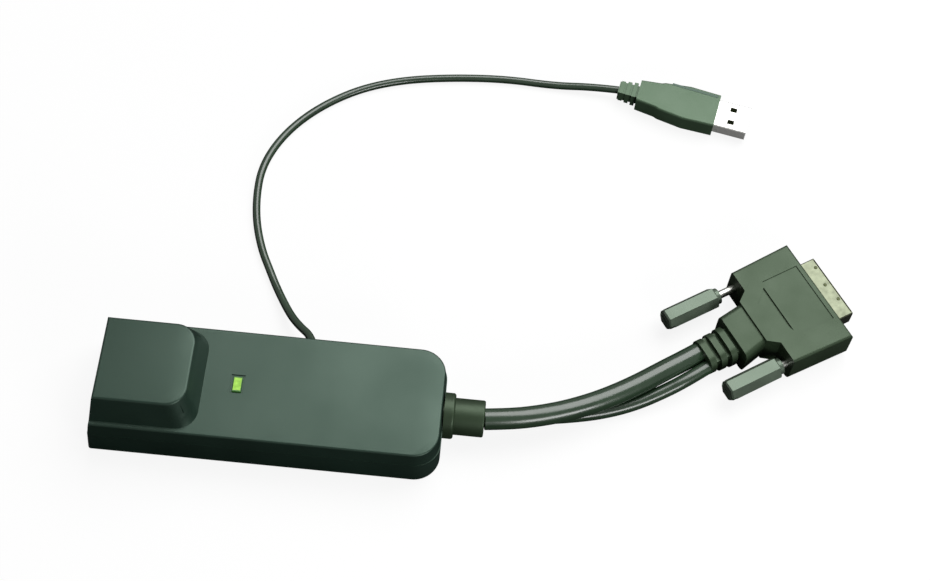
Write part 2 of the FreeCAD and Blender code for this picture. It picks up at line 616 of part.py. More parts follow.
def makeHeaders():
    """Two wire headers on the board, each with its plug and the leads that run on to the cable entry."""
    edge = mm.plugEdge
    low = mm.boardTop
    top = mm.boardTop + mm.headerHeight
    header = Piece("video_header")
    half = mm.videoHeaderWidth / 2
    x0 = mm.videoHeaderX
    x1 = mm.videoHeaderX + mm.videoHeaderDepth
    header.box("block", (x0, -half, low), (x1, half, top))
    header.box("mouth", (x0 + edge, -half + edge, low + edge), (x1 + 1, half - edge, top - edge), cut=True)
    plug = Piece("video_lead_plug")
    plug.box("block", (x0 + edge, -half + edge, low + edge),
             (x1 + mm.videoPlugReach, half - edge, top - edge))
    middle = float(low + mm.headerHeight / 2)
    starts = []
    ends = []
    number = int(mm.videoLeadCount.number)
    for index in range(number):
        step = index - (number - 1) / 2
        starts.append(Vector(float(x1 + mm.videoPlugReach), step * float(mm.videoLeadPitch), middle))
        ends.append(Vector(float(rightEnd - mm.caseWall - mm.flangeThick),
                           step * float(mm.videoLeadBunch), float(mm.glandHeight)))
    leadBundle("video_leads", starts, ends, float(mm.videoLeadRadius))

    header = Piece("usb_header")
    half = mm.usbHeaderWidth / 2
    y0 = mm.usbHeaderY
    y1 = mm.usbHeaderY + mm.usbHeaderDepth
    x = mm.grommetX
    header.box("block", (x - half, y0, low), (x + half, y1, top))
    header.box("mouth", (x - half + edge, y0 + edge, low + edge), (x + half - edge, y1 + 1, top - edge),
               cut=True)
    plug = Piece("usb_lead_plug")
    plug.box("block", (x - half + edge, y0 + edge, low + edge),
             (x + half - edge, y1 + mm.usbPlugReach, top - edge))
    starts = []
    ends = []
    number = int(mm.usbLeadCount.number)
    for index in range(number):
        step = index - (number - 1) / 2
        starts.append(Vector(float(x) + step * float(mm.usbLeadPitch), float(y1 + mm.usbPlugReach), middle))
        ends.append(Vector(float(x) + step * float(mm.usbLeadBunch),
                           float(backWall - mm.caseWall - mm.grommetFlangeThick),
                           float(mm.glandHeight + mm.usbLeadRise)))
    leadBundle("usb_leads", starts, ends, float(mm.usbLeadRadius))


def makeCaseScrews():
    screws = []
    for x, y in screwSpots:
        head = helperCylinder((x, y, mm.headSeat - mm.headDepth), mm.headRadius, mm.headDepth)
        shank = helperCylinder((x, y, mm.headSeat), mm.screwRadius, mm.screwTip - mm.headSeat)
        drive = helperCylinder((x, y, mm.headSeat - mm.headDepth), mm.driveRadius, mm.driveDepth)
        screws.append(cutAway(joined([head, shank], "screw"), drive))
    group("case_screws", screws)


def makeGland():
    gland = Piece("cable_gland")
    wallInside = rightEnd - mm.caseWall
    gland.rod("collar", (rightEnd, 0, mm.glandHeight), mm.collarRadius, mm.collarLength, "x")
    gland.rounded("collarEdge", mm.collarRound, lambda e: near(e.XMin, rightEnd + mm.collarLength))
    gland.rod("neck", (wallInside, 0, mm.glandHeight), mm.neckRadius, mm.caseWall, "x")
    gland.rod("flange", (wallInside - mm.flangeThick, 0, mm.glandHeight), mm.flangeRadius,
              mm.flangeThick, "x")
    sleeve = Piece("gland_sleeve")
    sleeve.rod("sleeve", (rightEnd + mm.collarLength, 0, mm.glandHeight), mm.sleeveRadius,
               mm.sleeveLength, "x")
    sleeve.rounded("sleeveEdge", mm.sleeveRound, lambda e: near(e.XMin, sleeveEnd))
    grommet = Piece("rear_grommet")
    inside = backWall - mm.caseWall
    grommet.rod("head", (mm.grommetX, backWall, mm.glandHeight), mm.grommetHead, mm.grommetHeadThick, "y")
    grommet.rounded("headEdge", mm.grommetHeadThick * 0.4,
                    lambda e: near(e.YMin, backWall + mm.grommetHeadThick))
    grommet.rod("neck", (mm.grommetX, inside, mm.glandHeight), mm.grommetRadius, mm.caseWall, "y")
    grommet.rod("flange", (mm.grommetX, inside - mm.grommetFlangeThick, mm.glandHeight), mm.grommetFlange,
                mm.grommetFlangeThick, "y")


def makeTube(node, points, radius):
    """A round cable along straight runs joined by tangent arcs; prints its radii and checks its volume."""
    points = [Vector(*point) for point in points]
    edges = []
    bends = []
    start = points[0]
    for before, corner, after in zip(points, points[1:], points[2:]):
        arriving = (corner - before).normalize()
        leaving = (after - corner).normalize()
        half = arriving.getAngle(leaving) / 2
        tangentLength = 0.45 * min((corner - before).Length, (after - corner).Length)
        bend = tangentLength / math.tan(half)
        bends.append(bend)
        first = corner - arriving * tangentLength
        last = corner + leaving * tangentLength
        inward = (leaving - arriving).normalize()
        middle = corner + inward * (bend / math.cos(half) - bend)
        edges.append(Part.LineSegment(start, first).toShape())
        edges.append(Part.Arc(first, middle, last).toShape())
        start = last
    edges.append(Part.LineSegment(start, points[-1]).toShape())
    path = Part.Wire(edges)
    heading = (points[1] - points[0]).normalize()
    profile = Part.Wire([Part.makeCircle(radius, points[0], heading)])
    tube = path.makePipeShell([profile], True, False)
    expected = math.pi * radius ** 2 * path.Length
    print("%s: length %.1f, radii %s, volume ratio %.4f"
          % (node, path.Length, " ".join("%.0f" % bend for bend in bends), tube.Volume / expected))
    shapeNode(node, tube)


def onPlug(x, y, yaw, along, side):
    """A point of a plug's own axes, seen from above in the case's axes."""
    return (float(x + cosine(yaw) * along - sine(yaw) * side),
            float(y + sine(yaw) * along + cosine(yaw) * side))


def makeCables():
    reliefEnd = -mm.dviBlock - mm.dviNeckLength - mm.ringStep * mm.ringCount
    main = (float(sleeveEnd), float(mm.mainExitY), float(mm.glandHeight + mm.mainExitRise))
    mainPlug = onPlug(mm.dviX, mm.dviY, mm.dviYaw, reliefEnd, mm.mainPlugSide)
    makeTube("video_cable_main", [main] + MAIN_BENDS + [mainPlug + (float(dviAxis),)], float(mm.mainRadius))
    second = (float(sleeveEnd), float(mm.secondExitY), float(mm.glandHeight + mm.secondExitRise))
    secondPlug = onPlug(mm.dviX, mm.dviY, mm.dviYaw, reliefEnd, mm.secondPlugSide)
    makeTube("video_cable_second", [second] + SECOND_BENDS + [secondPlug + (float(dviAxis),)],
             float(mm.secondRadius))
    usbStart = (float(mm.grommetX), float(backWall + mm.grommetHeadThick), float(mm.glandHeight))
    usbPlug = onPlug(mm.usbX, mm.usbY, mm.usbYaw, -mm.usbCoverBack - mm.usbReliefLength, 0)
    makeTube("usb_cable", [usbStart] + USB_BENDS + [usbPlug + (float(usbAxis),)], float(mm.usbCableRadius))


def placeOnDvi(thing):
    setPlugPlace(thing, mm.dviX, mm.dviY, dviAxis, mm.dviYaw)


def makeDviCover():
    cover = Piece("dvi_cover")
    front = mm.dviWidth / 2
    rear = mm.dviRearWidth / 2
    half = mm.dviThick / 2
    neck = mm.dviNeckWidth / 2
    flare = neck + mm.shoulderFlare
    block = -mm.dviBlock
    shoulder = block - mm.shoulderReach
    neckBack = block - mm.dviNeckLength
    shift = mm.reliefShift
    cover.pad("block", [(0, -front), (0, front), (block, rear), (block, flare), (shoulder, neck),
                        (shoulder, -neck), (block, -flare), (block, -rear)], -half, mm.dviThick)
    outer = float(block) + 1
    cover.rounded("topEdges", mm.dviRound, lambda e: near(e.ZMin, half) and e.XMax > outer)
    cover.rounded("baseEdges", mm.dviBaseRound, lambda e: near(e.ZMax, -half) and e.XMax > outer)
    thin = mm.dviNeckThick / 2
    neckRear = mm.dviNeckRear / 2
    cover.pad("neck", [(shoulder, -neck), (shoulder, neck), (neckBack, neckRear - mm.neckShift),
                       (neckBack, -neckRear - mm.neckShift)], -thin, thin * 2)
    cover.rounded("neckEdges", mm.dviNeckRound,
                  lambda e: e.ZLength < 0.05 and e.XMax < float(shoulder) + 0.5
                  and near(e.XMin, neckBack) and e.XLength > 5)
    relief = mm.ringStep * mm.ringCount
    core = mm.reliefWidth / 2
    cover.box("reliefCore", (neckBack - relief, -core - shift, -mm.reliefThick / 2),
              (neckBack, core - shift, mm.reliefThick / 2))
    for index in range(int(mm.ringCount.number)):
        back = neckBack - mm.ringStep * (index + 1)
        wide = (mm.ringWidth - mm.ringTaper * 2 * index) / 2
        thick = (mm.ringThick - mm.ringTaper * 2 * index) / 2
        cover.box("ring", (back, -wide - shift, -thick), (back + mm.ringLength, wide - shift, thick))
        cover.rounded("ringEdges", mm.ringRound,
                      lambda e: near(e.XMin, back, 0.1) and near(e.XLength, mm.ringLength, 0.1)
                      and e.YLength < 0.1 and e.ZLength < 0.1)
    cover.box("connectorSeat", (-mm.shellSeat, -mm.shellWidth / 2, -mm.shellHeight / 2),
              (1, mm.shellWidth / 2, mm.shellHeight / 2), cut=True)
    for sign in (-1, 1):
        y = mm.screwSpacing / 2 * sign
        cover.rod("rodHole", (-mm.dviBlock - 1, y, 0), mm.rodRadius + mm.rodFit, mm.dviBlock + 2, "x",
                  cut=True)
        cover.rod("clipRoom", (-mm.clipBack, y, 0), mm.clipRoom, mm.clipRoomLength, "x", cut=True)
    panel = mm.panelHalf
    cover.box("panel", (-mm.panelBack, -panel, half - mm.panelDepth), (-mm.panelFront, panel, half + 1),
              cut=True)
    grip = mm.gripHalf
    gripFront = -mm.panelBack - mm.gripGap
    cover.pocket("grip", [(gripFront, -grip), (gripFront, grip), (-mm.gripBack, mm.gripTip),
                          (-mm.gripBack + 1, mm.gripTip - 2)], half, mm.gripDepth)
    placeOnDvi(cover.body)


def dviOutline(inset):
    """The connector's shell seen from its front: a flat tube with two cut corners below."""
    y = mm.shellWidth / 2 - inset
    z = mm.shellHeight / 2 - inset
    corner = mm.shellCorner
    slant = corner * 0.6
    return [(-y, z), (-y, -z + corner), (-y + slant, -z), (y - slant, -z), (y, -z + corner), (y, z)]


def makeDviConnector():
    shell = Piece("dvi_shell")
    sketchAndPadX(shell, "tube", dviOutline(0), -mm.shellSeat, mm.shellSeat + mm.shellReach)
    shell.rounded("bends", mm.shellBend, lambda e: e.XLength > 5)
    sketchAndPadX(shell, "bore", dviOutline(mm.shellSheet), -mm.shellSeat - 1,
                  mm.shellSeat + mm.shellReach + 2, cut=True)
    placeOnDvi(shell.body)

    pins = []
    side = mm.pinSide / 2
    for row in range(int(mm.pinRows.number)):
        z = mm.pinPitch * (row - (mm.pinRows - 1) / 2)
        for column in range(int(mm.pinColumns.number)):
            y = mm.pinPitch * (column - (mm.pinColumns - 1) / 2) - mm.pinShift
            pins.append(helperBox((-mm.pinTail, y - side, z - side), (mm.pinReach, y + side, z + side)))
    blade = mm.bladeWidth / 2
    pins.append(helperBox((-mm.pinTail, mm.bladeY - blade, -mm.bladeSheet / 2),
                          (mm.pinReach, mm.bladeY + blade, mm.bladeSheet / 2)))
    pinGroup = group("dvi_pins", pins)

    insulator = Piece("dviInsulatorBlock")
    nodes.remove(insulator.body)
    sketchAndPadX(insulator, "block", dviOutline(mm.shellSheet), -mm.shellSeat,
                  mm.shellSeat + mm.insulatorFace)
    insulator.rounded("bends", mm.shellBend - 0.1, lambda e: e.XLength > 5)
    placeOnDvi(insulator.body)
    placeOnDvi(pinGroup)
    keep(cutAway(insulator.body, pinGroup, "boredInsulator"), "dvi_insulator")


def sketchAndPadX(piece, word, corners, start, length, cut=False):
    """An outline in the YZ plane, run along X from a given start."""
    sketch = piece.sketch(word + "Outline", corners, start, "YZ_Plane")
    feature = piece.feature("Pocket" if cut else "Pad", word)
    feature.Profile = sketch
    feature.Reversed = cut
    setSizes(feature, Length=length)
    doc.recompute()


def makeThumbscrew(side, sign, gap):
    """A knob moulded on a steel rod that a clip holds in the cover; gap is the knob's distance from it."""
    y = mm.screwSpacing / 2 * sign
    knobFront = -mm.dviBlock - gap
    knob = Piece(side + "_thumb_knob")
    prism = knob.feature("AdditivePrism", "grip")
    prism.Polygon = 6
    setSizes(prism, Circumradius=mm.knobRadius, Height=mm.knobLength - mm.knobShoulder)
    flatUp = AXES["x"].multiply(Rotation(Vector(0, 0, 1), 30))
    setPlace(prism, (knobFront - mm.knobLength, y, 0), flatUp)
    knob.bevelled("ends", 0.5, lambda e: near(e.XLength, 0) and e.YLength + e.ZLength > 1)
    knob.rod("shoulder", (knobFront - mm.knobShoulder, y, 0), mm.knobShoulderRadius, mm.knobShoulder, "x")
    knob.rod("bore", (knobFront - mm.knobBore, y, 0), mm.rodRadius, mm.knobBore + 1, "x", cut=True)
    knob.box("slot", (knobFront - mm.knobLength - 1, y - mm.knobRadius - 1, -mm.slotWidth / 2),
             (knobFront - mm.knobLength + mm.slotDepth, y + mm.knobRadius + 1, mm.slotWidth / 2), cut=True)
    placeOnDvi(knob.body)

    clipX = -mm.clipBack + mm.clipRoomLength - mm.clipStop - (gap - mm.nearKnobGap) - mm.clipSheet
    rod = Piece(side + "_jackscrew")
    rod.rod("shaft", (knobFront - mm.knobBore, y, 0), mm.rodRadius, mm.knobBore + mm.rodReach, "x")
    rod.bevelled("point", mm.rodPoint, lambda e: near(e.XMin, knobFront + mm.rodReach))
    groove = makeRing(clipX - mm.clipPlay, y, mm.clipGroove, mm.rodRadius + 1,
                      mm.clipSheet + mm.clipPlay * 2)
    grooved = cutAway(rod.body, groove, side + "GroovedRod")
    nodes.remove(rod.body)
    rod.body.Label = side + "RodBlank"
    keep(grooved, side + "_jackscrew")
    placeOnDvi(grooved)

    ring = makeRing(clipX, y, mm.clipGroove + mm.clipFit, mm.clipOuter, mm.clipSheet)
    mouth = helperBox((clipX - 1, y - mm.clipMouth / 2, 0),
                      (clipX + mm.clipSheet + 1, y + mm.clipMouth / 2, mm.clipOuter + 1))
    clip = cutAway(ring, mouth, side + "Clip")
    keep(clip, side + "_retaining_clip")
    placeOnDvi(clip)


def makeRing(x, y, inner, outer, thick):
    return cutAway(helperCylinder((x, y, 0), outer, thick, "x"),
                   helperCylinder((x - 1, y, 0), inner, thick + 2, "x"), "ring")


def makeUsbPlug():
    cover = Piece("usb_cover")
    half = mm.usbThick / 2
    front = -mm.usbShellReach
    stepBack = mm.usbStep + mm.usbStepLength
    upper = [(front, mm.usbFrontHalf), (-mm.usbWaist, mm.usbWaistHalf), (-mm.usbStep, mm.usbStepHalf + 0.6),
             (-stepBack, mm.usbStepHalf), (-mm.usbCoverBack, mm.usbRearHalf)]
    lower = [(x, -y) for x, y in reversed(upper)]
    cover.pad("block", upper + lower, -half, mm.usbThick)
    cover.rounded("topEdges", mm.usbRound, lambda e: near(e.ZMin, half) and e.XLength > 1)
    cover.rounded("baseEdges", mm.usbBaseRound, lambda e: near(e.ZMax, -half) and e.XLength > 1)
    relief = mm.usbReliefLength
    back = -mm.usbCoverBack
    core = mm.usbReliefWidth / 2
    flat = mm.usbReliefThick / 2
    cover.box("relief", (back - relief, -core, -flat), (back + 1, core, flat))
    for index in range(int(mm.usbRingCount.number)):
        x = back - mm.usbRingStep * (index + 1) + mm.usbRingStep - mm.usbRingLength - 0.7
        wide = (mm.usbRingWidth - 0.5 * index) / 2
        thick = (mm.usbRingThick - 0.4 * index) / 2
        cover.box("ring", (x, -wide, -thick), (x + mm.usbRingLength, wide, thick))
    cover.box("shellSeat", (front - mm.usbShellSeat, -mm.usbShellWidth / 2, -mm.usbShellHeight / 2),
              (front + 1, mm.usbShellWidth / 2, mm.usbShellHeight / 2), cut=True)
    seatBack = front - mm.usbShellSeat
    wide = mm.usbShellWidth / 2
    high = mm.usbShellHeight / 2
    wall = mm.usbShellSheet
    shell = Piece("usb_shell")
    shell.box("tube", (seatBack, -wide, -high), (0, wide, high))
    shell.rounded("bends", mm.usbShellBend, lambda e: e.XLength > 5)
    shell.box("bore", (seatBack - 1, -wide + wall, -high + wall), (1, wide - wall, high - wall), cut=True)
    for sign in (-1, 1):
        y = mm.windowSide * sign
        shell.box("window", (-mm.windowX - mm.windowLength / 2, y - mm.windowWidth / 2, -high - 1),
                  (-mm.windowX + mm.windowLength / 2, y + mm.windowWidth / 2, high + 1), cut=True)
    tongueTop = high - wall
    tongueBase = tongueTop - mm.tongueThick
    tongue = Piece("usb_tongue")
    side = wide - wall - mm.tongueSide
    tongue.box("tongue", (seatBack, -side, tongueBase), (-mm.tongueTip, side, tongueTop))
    contacts = []
    contactFront = -mm.tongueTip - 0.6
    for offset in (-mm.contactOuter, -mm.contactInner, mm.contactInner, mm.contactOuter):
        low = (contactFront - mm.contactLength, offset - mm.contactWidth / 2, tongueBase - mm.contactSheet)
        contacts.append(helperBox(low, (contactFront, offset + mm.contactWidth / 2, tongueBase)))
    contactGroup = group("usb_contacts", contacts)
    for thing in (cover.body, shell.body, tongue.body, contactGroup):
        setPlugPlace(thing, mm.usbX, mm.usbY, usbAxis, mm.usbYaw)


def exportAll():
    doc.recompute()
    for thing in doc.Objects:
        if "Invalid" in thing.State or "Error" in thing.State:
            raise RuntimeError("%s failed: %s" % (thing.Label, thing.State))
    for thing in nodes:
        if thing.Shape.isNull() or not thing.Shape.isValid():
            raise RuntimeError(thing.Label + " has no valid shape")
        thing.Shape.exportStep("parts/%s.step" % thing.Label)
    print("%d nodes written" % len(nodes))


makeLowerCase()
makeUpperCase()
makeIndicator()
makeBoard()
makeSocket()
makeBoardParts()
makeHeaders()
makeCaseScrews()
makeGland()
makeCables()
makeDviCover()
makeDviConnector()
makeThumbscrew("far", 1, mm.farKnobGap)
makeThumbscrew("near", -1, mm.nearKnobGap)
makeUsbPlug()
exportAll()
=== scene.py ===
import math

import bmesh
import bpy
from mathutils import Matrix, Vector


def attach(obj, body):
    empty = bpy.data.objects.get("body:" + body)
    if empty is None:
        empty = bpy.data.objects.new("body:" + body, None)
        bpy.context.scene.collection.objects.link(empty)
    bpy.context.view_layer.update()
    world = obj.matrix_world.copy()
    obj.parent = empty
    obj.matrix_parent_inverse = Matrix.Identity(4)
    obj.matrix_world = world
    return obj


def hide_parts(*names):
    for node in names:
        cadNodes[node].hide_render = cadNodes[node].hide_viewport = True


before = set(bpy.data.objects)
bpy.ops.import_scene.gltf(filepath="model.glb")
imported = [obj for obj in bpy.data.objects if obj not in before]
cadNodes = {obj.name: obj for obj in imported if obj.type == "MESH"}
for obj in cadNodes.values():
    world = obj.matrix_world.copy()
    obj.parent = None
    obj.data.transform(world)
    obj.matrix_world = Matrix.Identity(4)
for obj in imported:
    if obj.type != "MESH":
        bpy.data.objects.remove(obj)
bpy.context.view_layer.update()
mm = 0.001
print("frame loaded:", len(cadNodes), "nodes")


def newMaterial(name):
    material = bpy.data.materials.new(name)
    material.use_nodes = True
    tree = material.node_tree
    return material, tree, tree.nodes["Principled BSDF"], tree.nodes.new("ShaderNodeTexCoord")


def noise(tree, coords, scale, detail):
    texture = tree.nodes.new("ShaderNodeTexNoise")
    texture.inputs["Scale"].default_value = scale
    texture.inputs["Detail"].default_value = detail
    tree.links.new(coords.outputs["Object"], texture.inputs["Vector"])
    return texture.outputs["Fac"]


cloudLow, cloudHigh = 0.3, 0.7  # most of a noise lies between these


def spread(tree, source, low, high):
    node = tree.nodes.new("ShaderNodeMapRange")
    node.inputs["From Min"].default_value = cloudLow
    node.inputs["From Max"].default_value = cloudHigh
    node.inputs["To Min"].default_value = low
    node.inputs["To Max"].default_value = high
    tree.links.new(source, node.inputs["Value"])
    return node.outputs["Result"]


def ramp(tree, source, stops):
    node = tree.nodes.new("ShaderNodeValToRGB")
    for element, (place, color) in zip(node.color_ramp.elements, stops):
        element.position = place
        element.color = (*color, 1)
    tree.links.new(source, node.inputs["Fac"])
    return node.outputs["Color"]


def times(color, factor):
    return tuple(min(1, channel * factor) for channel in color)


def mottle(tree, shader, cloud, color, vary):
    stops = [(cloudLow, times(color, 1 - vary)), (cloudHigh, times(color, 1 + vary))]
    tree.links.new(ramp(tree, cloud, stops), shader.inputs["Base Color"])


def bumps(tree, shader, layers):
    previous = None
    for source, depth, strength in layers:
        bump = tree.nodes.new("ShaderNodeBump")
        bump.inputs["Distance"].default_value = depth
        bump.inputs["Strength"].default_value = strength
        tree.links.new(source, bump.inputs["Height"])
        if previous:
            tree.links.new(previous.outputs["Normal"], bump.inputs["Normal"])
        previous = bump
    tree.links.new(previous.outputs["Normal"], shader.inputs["Normal"])


def mathNode(tree, operation, first, second):
    node = tree.nodes.new("ShaderNodeMath")
    node.operation = operation
    for socket, value in zip(node.inputs, (first, second)):
        if isinstance(value, (int, float)):
            socket.default_value = value
        else:
            tree.links.new(value, socket)
    return node.outputs["Value"]


plasticBasics = {
    "gloss": 0.5, "tint": (1, 1, 1), "roughSpread": 0.05,
    "mottle": 60, "mottleDetail": 5, "vary": 0.12,
    "grain": 2600, "grainDetail": 2, "depth": 0.00003, "grainStrength": 0.45,
    "flow": 90, "flowDetail": 1, "flowDepth": 0.00012, "flowStrength": 0.08,  # slow waves of a moulding
}


def plastic(name, changes):
    sizes = {**plasticBasics, **changes}
    material, tree, shader, coords = newMaterial(name)
    cloud = noise(tree, coords, sizes["mottle"], sizes["mottleDetail"])
    mottle(tree, shader, cloud, sizes["color"], sizes["vary"])
    rough, either = sizes["roughness"], sizes["roughSpread"]
    tree.links.new(spread(tree, cloud, rough - either, rough + either), shader.inputs["Roughness"])
    shader.inputs["Specular IOR Level"].default_value = sizes["gloss"]
    shader.inputs["Specular Tint"].default_value = (*sizes["tint"], 1)
    grain = noise(tree, coords, sizes["grain"], sizes["grainDetail"])
    flow = noise(tree, coords, sizes["flow"], sizes["flowDetail"])
    bumps(tree, shader, [(grain, sizes["depth"], sizes["grainStrength"]),
                         (flow, sizes["flowDepth"], sizes["flowStrength"])])
    return material


metalBasics = {
    "metallic": 1.0, "smoother": 0.04, "rougher": 0.06, "vary": 0.06,
    "grain": 900, "grainDetail": 4, "depth": 0.00001, "grainStrength": 0.35,
    "dents": 160, "dentDetail": 2, "dentDepth": 0.0001, "dentStrength": 0.15,
}


def metal(name, changes):
    sizes = {**metalBasics, **changes}
    material, tree, shader, coords = newMaterial(name)
    shader.inputs["Metallic"].default_value = sizes["metallic"]
    cloud = noise(tree, coords, sizes["grain"], sizes["grainDetail"])
    mottle(tree, shader, cloud, sizes["color"], sizes["vary"])
    rough = sizes["roughness"]
    tree.links.new(spread(tree, cloud, rough - sizes["smoother"], rough + sizes["rougher"]),
                   shader.inputs["Roughness"])
    dents = noise(tree, coords, sizes["dents"], sizes["dentDetail"])
    bumps(tree, shader, [(cloud, sizes["depth"], sizes["grainStrength"]),
                         (dents, sizes["dentDepth"], sizes["dentStrength"])])
    return material


mouldedGreenBlack = {
    "color": (0.008, 0.022, 0.015), "roughness": 0.4, "gloss": 0.79, "grain": 3000, "depth": 0.00002,
    "mottle": 45, "tint": (0.72, 1.0, 0.82),
}
casePlastic = plastic("caseSatinBlack", mouldedGreenBlack)
plugPlastic = plastic("plugSoftBlack", {
    **mouldedGreenBlack, "color": (0.022, 0.038, 0.019), "roughness": 0.44, "gloss": 0.64,
    "depth": 0.00003, "mottle": 90, "tint": (0.76, 1.0, 0.72)})
knobPlastic = plastic("knobPlastic", {
    **mouldedGreenBlack, "color": (0.09, 0.12, 0.088), "roughness": 0.36, "gloss": 1.0, "mottle": 120,
    "tint": (0.8, 1, 0.8)})
usbPlastic = plastic("usbPlastic", {
    **mouldedGreenBlack, "color": (0.06, 0.105, 0.06), "roughness": 0.42, "gloss": 0.82,
    "depth": 0.00003, "mottle": 90, "tint": (0.74, 1, 0.74)})
cableJacket = plastic("cableJacket", {
    "color": (0.026, 0.056, 0.028), "roughness": 0.22, "gloss": 0.85, "grain": 1500, "depth": 0.00002,
    "mottle": 120})
boardMask = plastic("boardSolderMask", {"color": (0.03, 0.16, 0.07), "roughness": 0.35, "grain": 900})
chipEpoxy = plastic("chipEpoxy", {"color": (0.03, 0.03, 0.033), "roughness": 0.5})
creamPlastic = plastic("creamHeader", {"color": (0.72, 0.7, 0.6), "roughness": 0.45, "vary": 0.05})
whitePlastic = plastic("pinBlockWhite", {"color": (0.78, 0.79, 0.7), "roughness": 0.45, "vary": 0.05})
socketPlastic = plastic("socketBlack", {"color": (0.025, 0.027, 0.026), "roughness": 0.4})
tongueBlack = plastic("tongueBlack", {"color": (0.008, 0.012, 0.004), "roughness": 0.8, "gloss": 0.04})
wireJacket = plastic("leadWire", {"color": (0.25, 0.25, 0.27), "roughness": 0.4})
ferrite = plastic("coilFerrite", {"color": (0.1, 0.1, 0.11), "roughness": 0.6})
ledBody = plastic("ledBody", {"color": (0.8, 0.8, 0.66), "roughness": 0.35, "vary": 0.05})
platedSteel = metal("platedShell", {"color": (0.78, 0.79, 0.7), "roughness": 0.27})
whiteSteel = metal("whiteShell", {"color": (0.9, 0.9, 0.86), "roughness": 0.3, "metallic": 0.45})
oliveSteel = metal("oliveShell", {
    "color": (0.15, 0.165, 0.115), "roughness": 0.33, "vary": 0.3, "grain": 420})
# near-black metal for the dimples and front rim of the video plug's shell: painted shade
paintedShadeSteel = metal("paintedShadeRim", {"color": (0.06, 0.07, 0.035), "roughness": 0.4})
screwSteel = metal("screwSteel", {"color": (0.72, 0.73, 0.68), "roughness": 0.3})
canAluminium = metal("canAluminium", {"color": (0.7, 0.7, 0.72), "roughness": 0.35})
contactGold = metal("contactGold", {"color": (0.85, 0.62, 0.25), "roughness": 0.25})

lampSizes = {
    "x": -10.4, "halfWide": 1.25, "halfLong": 2.3,  # the bright core, in millimetres
    "core": [(0.35, (0.24, 0.55, 0.02)), (0.7, (0.4, 0.78, 0.06))], "rim": (0.03, 0.13, 0.015),
    "grain": 700, "grainDetail": 2, "glow": 0.2, "roughness": 0.3,
}


def within(tree, source, middle, half):
    inside = mathNode(tree, "COMPARE", source, middle)
    inside.node.inputs[2].default_value = half
    return inside


def lampMaterial(sizes):
    material, tree, shader, coords = newMaterial("lampLens")
    split = tree.nodes.new("ShaderNodeSeparateXYZ")
    tree.links.new(coords.outputs["Object"], split.inputs["Vector"])
    across = within(tree, split.outputs["X"], sizes["x"] * mm, sizes["halfWide"] * mm)
    along = within(tree, split.outputs["Y"], 0, sizes["halfLong"] * mm)
    mix = tree.nodes.new("ShaderNodeMixRGB")
    mix.inputs["Color1"].default_value = (*sizes["rim"], 1)
    tree.links.new(mathNode(tree, "MULTIPLY", across, along), mix.inputs["Fac"])
    cloud = noise(tree, coords, sizes["grain"], sizes["grainDetail"])
    tree.links.new(ramp(tree, cloud, sizes["core"]), mix.inputs["Color2"])
    tree.links.new(mix.outputs["Color"], shader.inputs["Base Color"])
    tree.links.new(mix.outputs["Color"], shader.inputs["Emission Color"])
    shader.inputs["Emission Strength"].default_value = sizes["glow"]
    shader.inputs["Roughness"].default_value = sizes["roughness"]
    return material


finishes = {
    "upper_case": casePlastic, "lower_case": casePlastic, "indicator_lens": lampMaterial(lampSizes),
    "indicator_led": ledBody, "main_board": boardMask, "socket_shield": platedSteel,
    "network_socket": socketPlastic, "socket_contacts": contactGold, "video_chip": chipEpoxy,
    "usb_chip": chipEpoxy, "memory_chip": chipEpoxy, "network_magnetics": chipEpoxy,
    "crystal": platedSteel, "capacitors": canAluminium, "power_coil": ferrite,
    "video_header": creamPlastic, "video_lead_plug": creamPlastic, "video_leads": wireJacket,
    "usb_header": creamPlastic, "usb_lead_plug": creamPlastic, "usb_leads": wireJacket,
    "case_screws": screwSteel, "cable_gland": plugPlastic, "gland_sleeve": plugPlastic,
    "rear_grommet": plugPlastic, "video_cable_main": cableJacket, "video_cable_second": cableJacket,
    "usb_cable": cableJacket, "dvi_cover": plugPlastic, "dvi_shell": oliveSteel,
    "dvi_pins": contactGold, "dvi_insulator": whitePlastic, "far_thumb_knob": knobPlastic,
    "far_jackscrew": screwSteel, "far_retaining_clip": screwSteel, "near_thumb_knob": knobPlastic,
    "near_jackscrew": screwSteel, "near_retaining_clip": screwSteel, "usb_cover": usbPlastic,
    "usb_shell": whiteSteel, "usb_tongue": tongueBlack, "usb_contacts": contactGold,
}
for nodeName, material in finishes.items():
    node = cadNodes[nodeName]
    node.data.materials.clear()
    node.data.materials.append(material)
print("materials on", len(finishes), "nodes")


def linked(name, data):
    piece = bpy.data.objects.new(name, data)
    bpy.context.scene.collection.objects.link(piece)
    return piece


mergeGap = 2e-6  # metres


# moulded parts: the solid's own shape, smooth across edges that turn by less than softAngle
def softenedCopy(nodeName, pieceName, body="main", softAngle=34):
    data = cadNodes[nodeName].data.copy()
    mesh = bmesh.new()
    mesh.from_mesh(data)
    bmesh.ops.remove_doubles(mesh, verts=mesh.verts, dist=mergeGap)
    for face in mesh.faces:
        face.smooth = True
    for edge in mesh.edges:
        edge.smooth = len(edge.link_faces) == 2 and edge.calc_face_angle() < math.radians(softAngle)
    mesh.to_mesh(data)
    mesh.free()
    piece = linked(pieceName, data)
    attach(piece, body)
    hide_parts(nodeName)
    return piece


softenedCopy("upper_case", "upperShell")
softenedCopy("lower_case", "lowerShell")
softenedCopy("cable_gland", "glandCollar")
glandSleeve = softenedCopy("gland_sleeve", "glandSleeve")
softenedCopy("rear_grommet", "rearGrommet")
dviCover = softenedCopy("dvi_cover", "dviCover")
usbCover = softenedCopy("usb_cover", "usbCover")
farKnob = softenedCopy("far_thumb_knob", "farKnob", "far_screw", softAngle=30)
nearKnob = softenedCopy("near_thumb_knob", "nearKnob", "near_screw", softAngle=30)
print("moulded parts done")


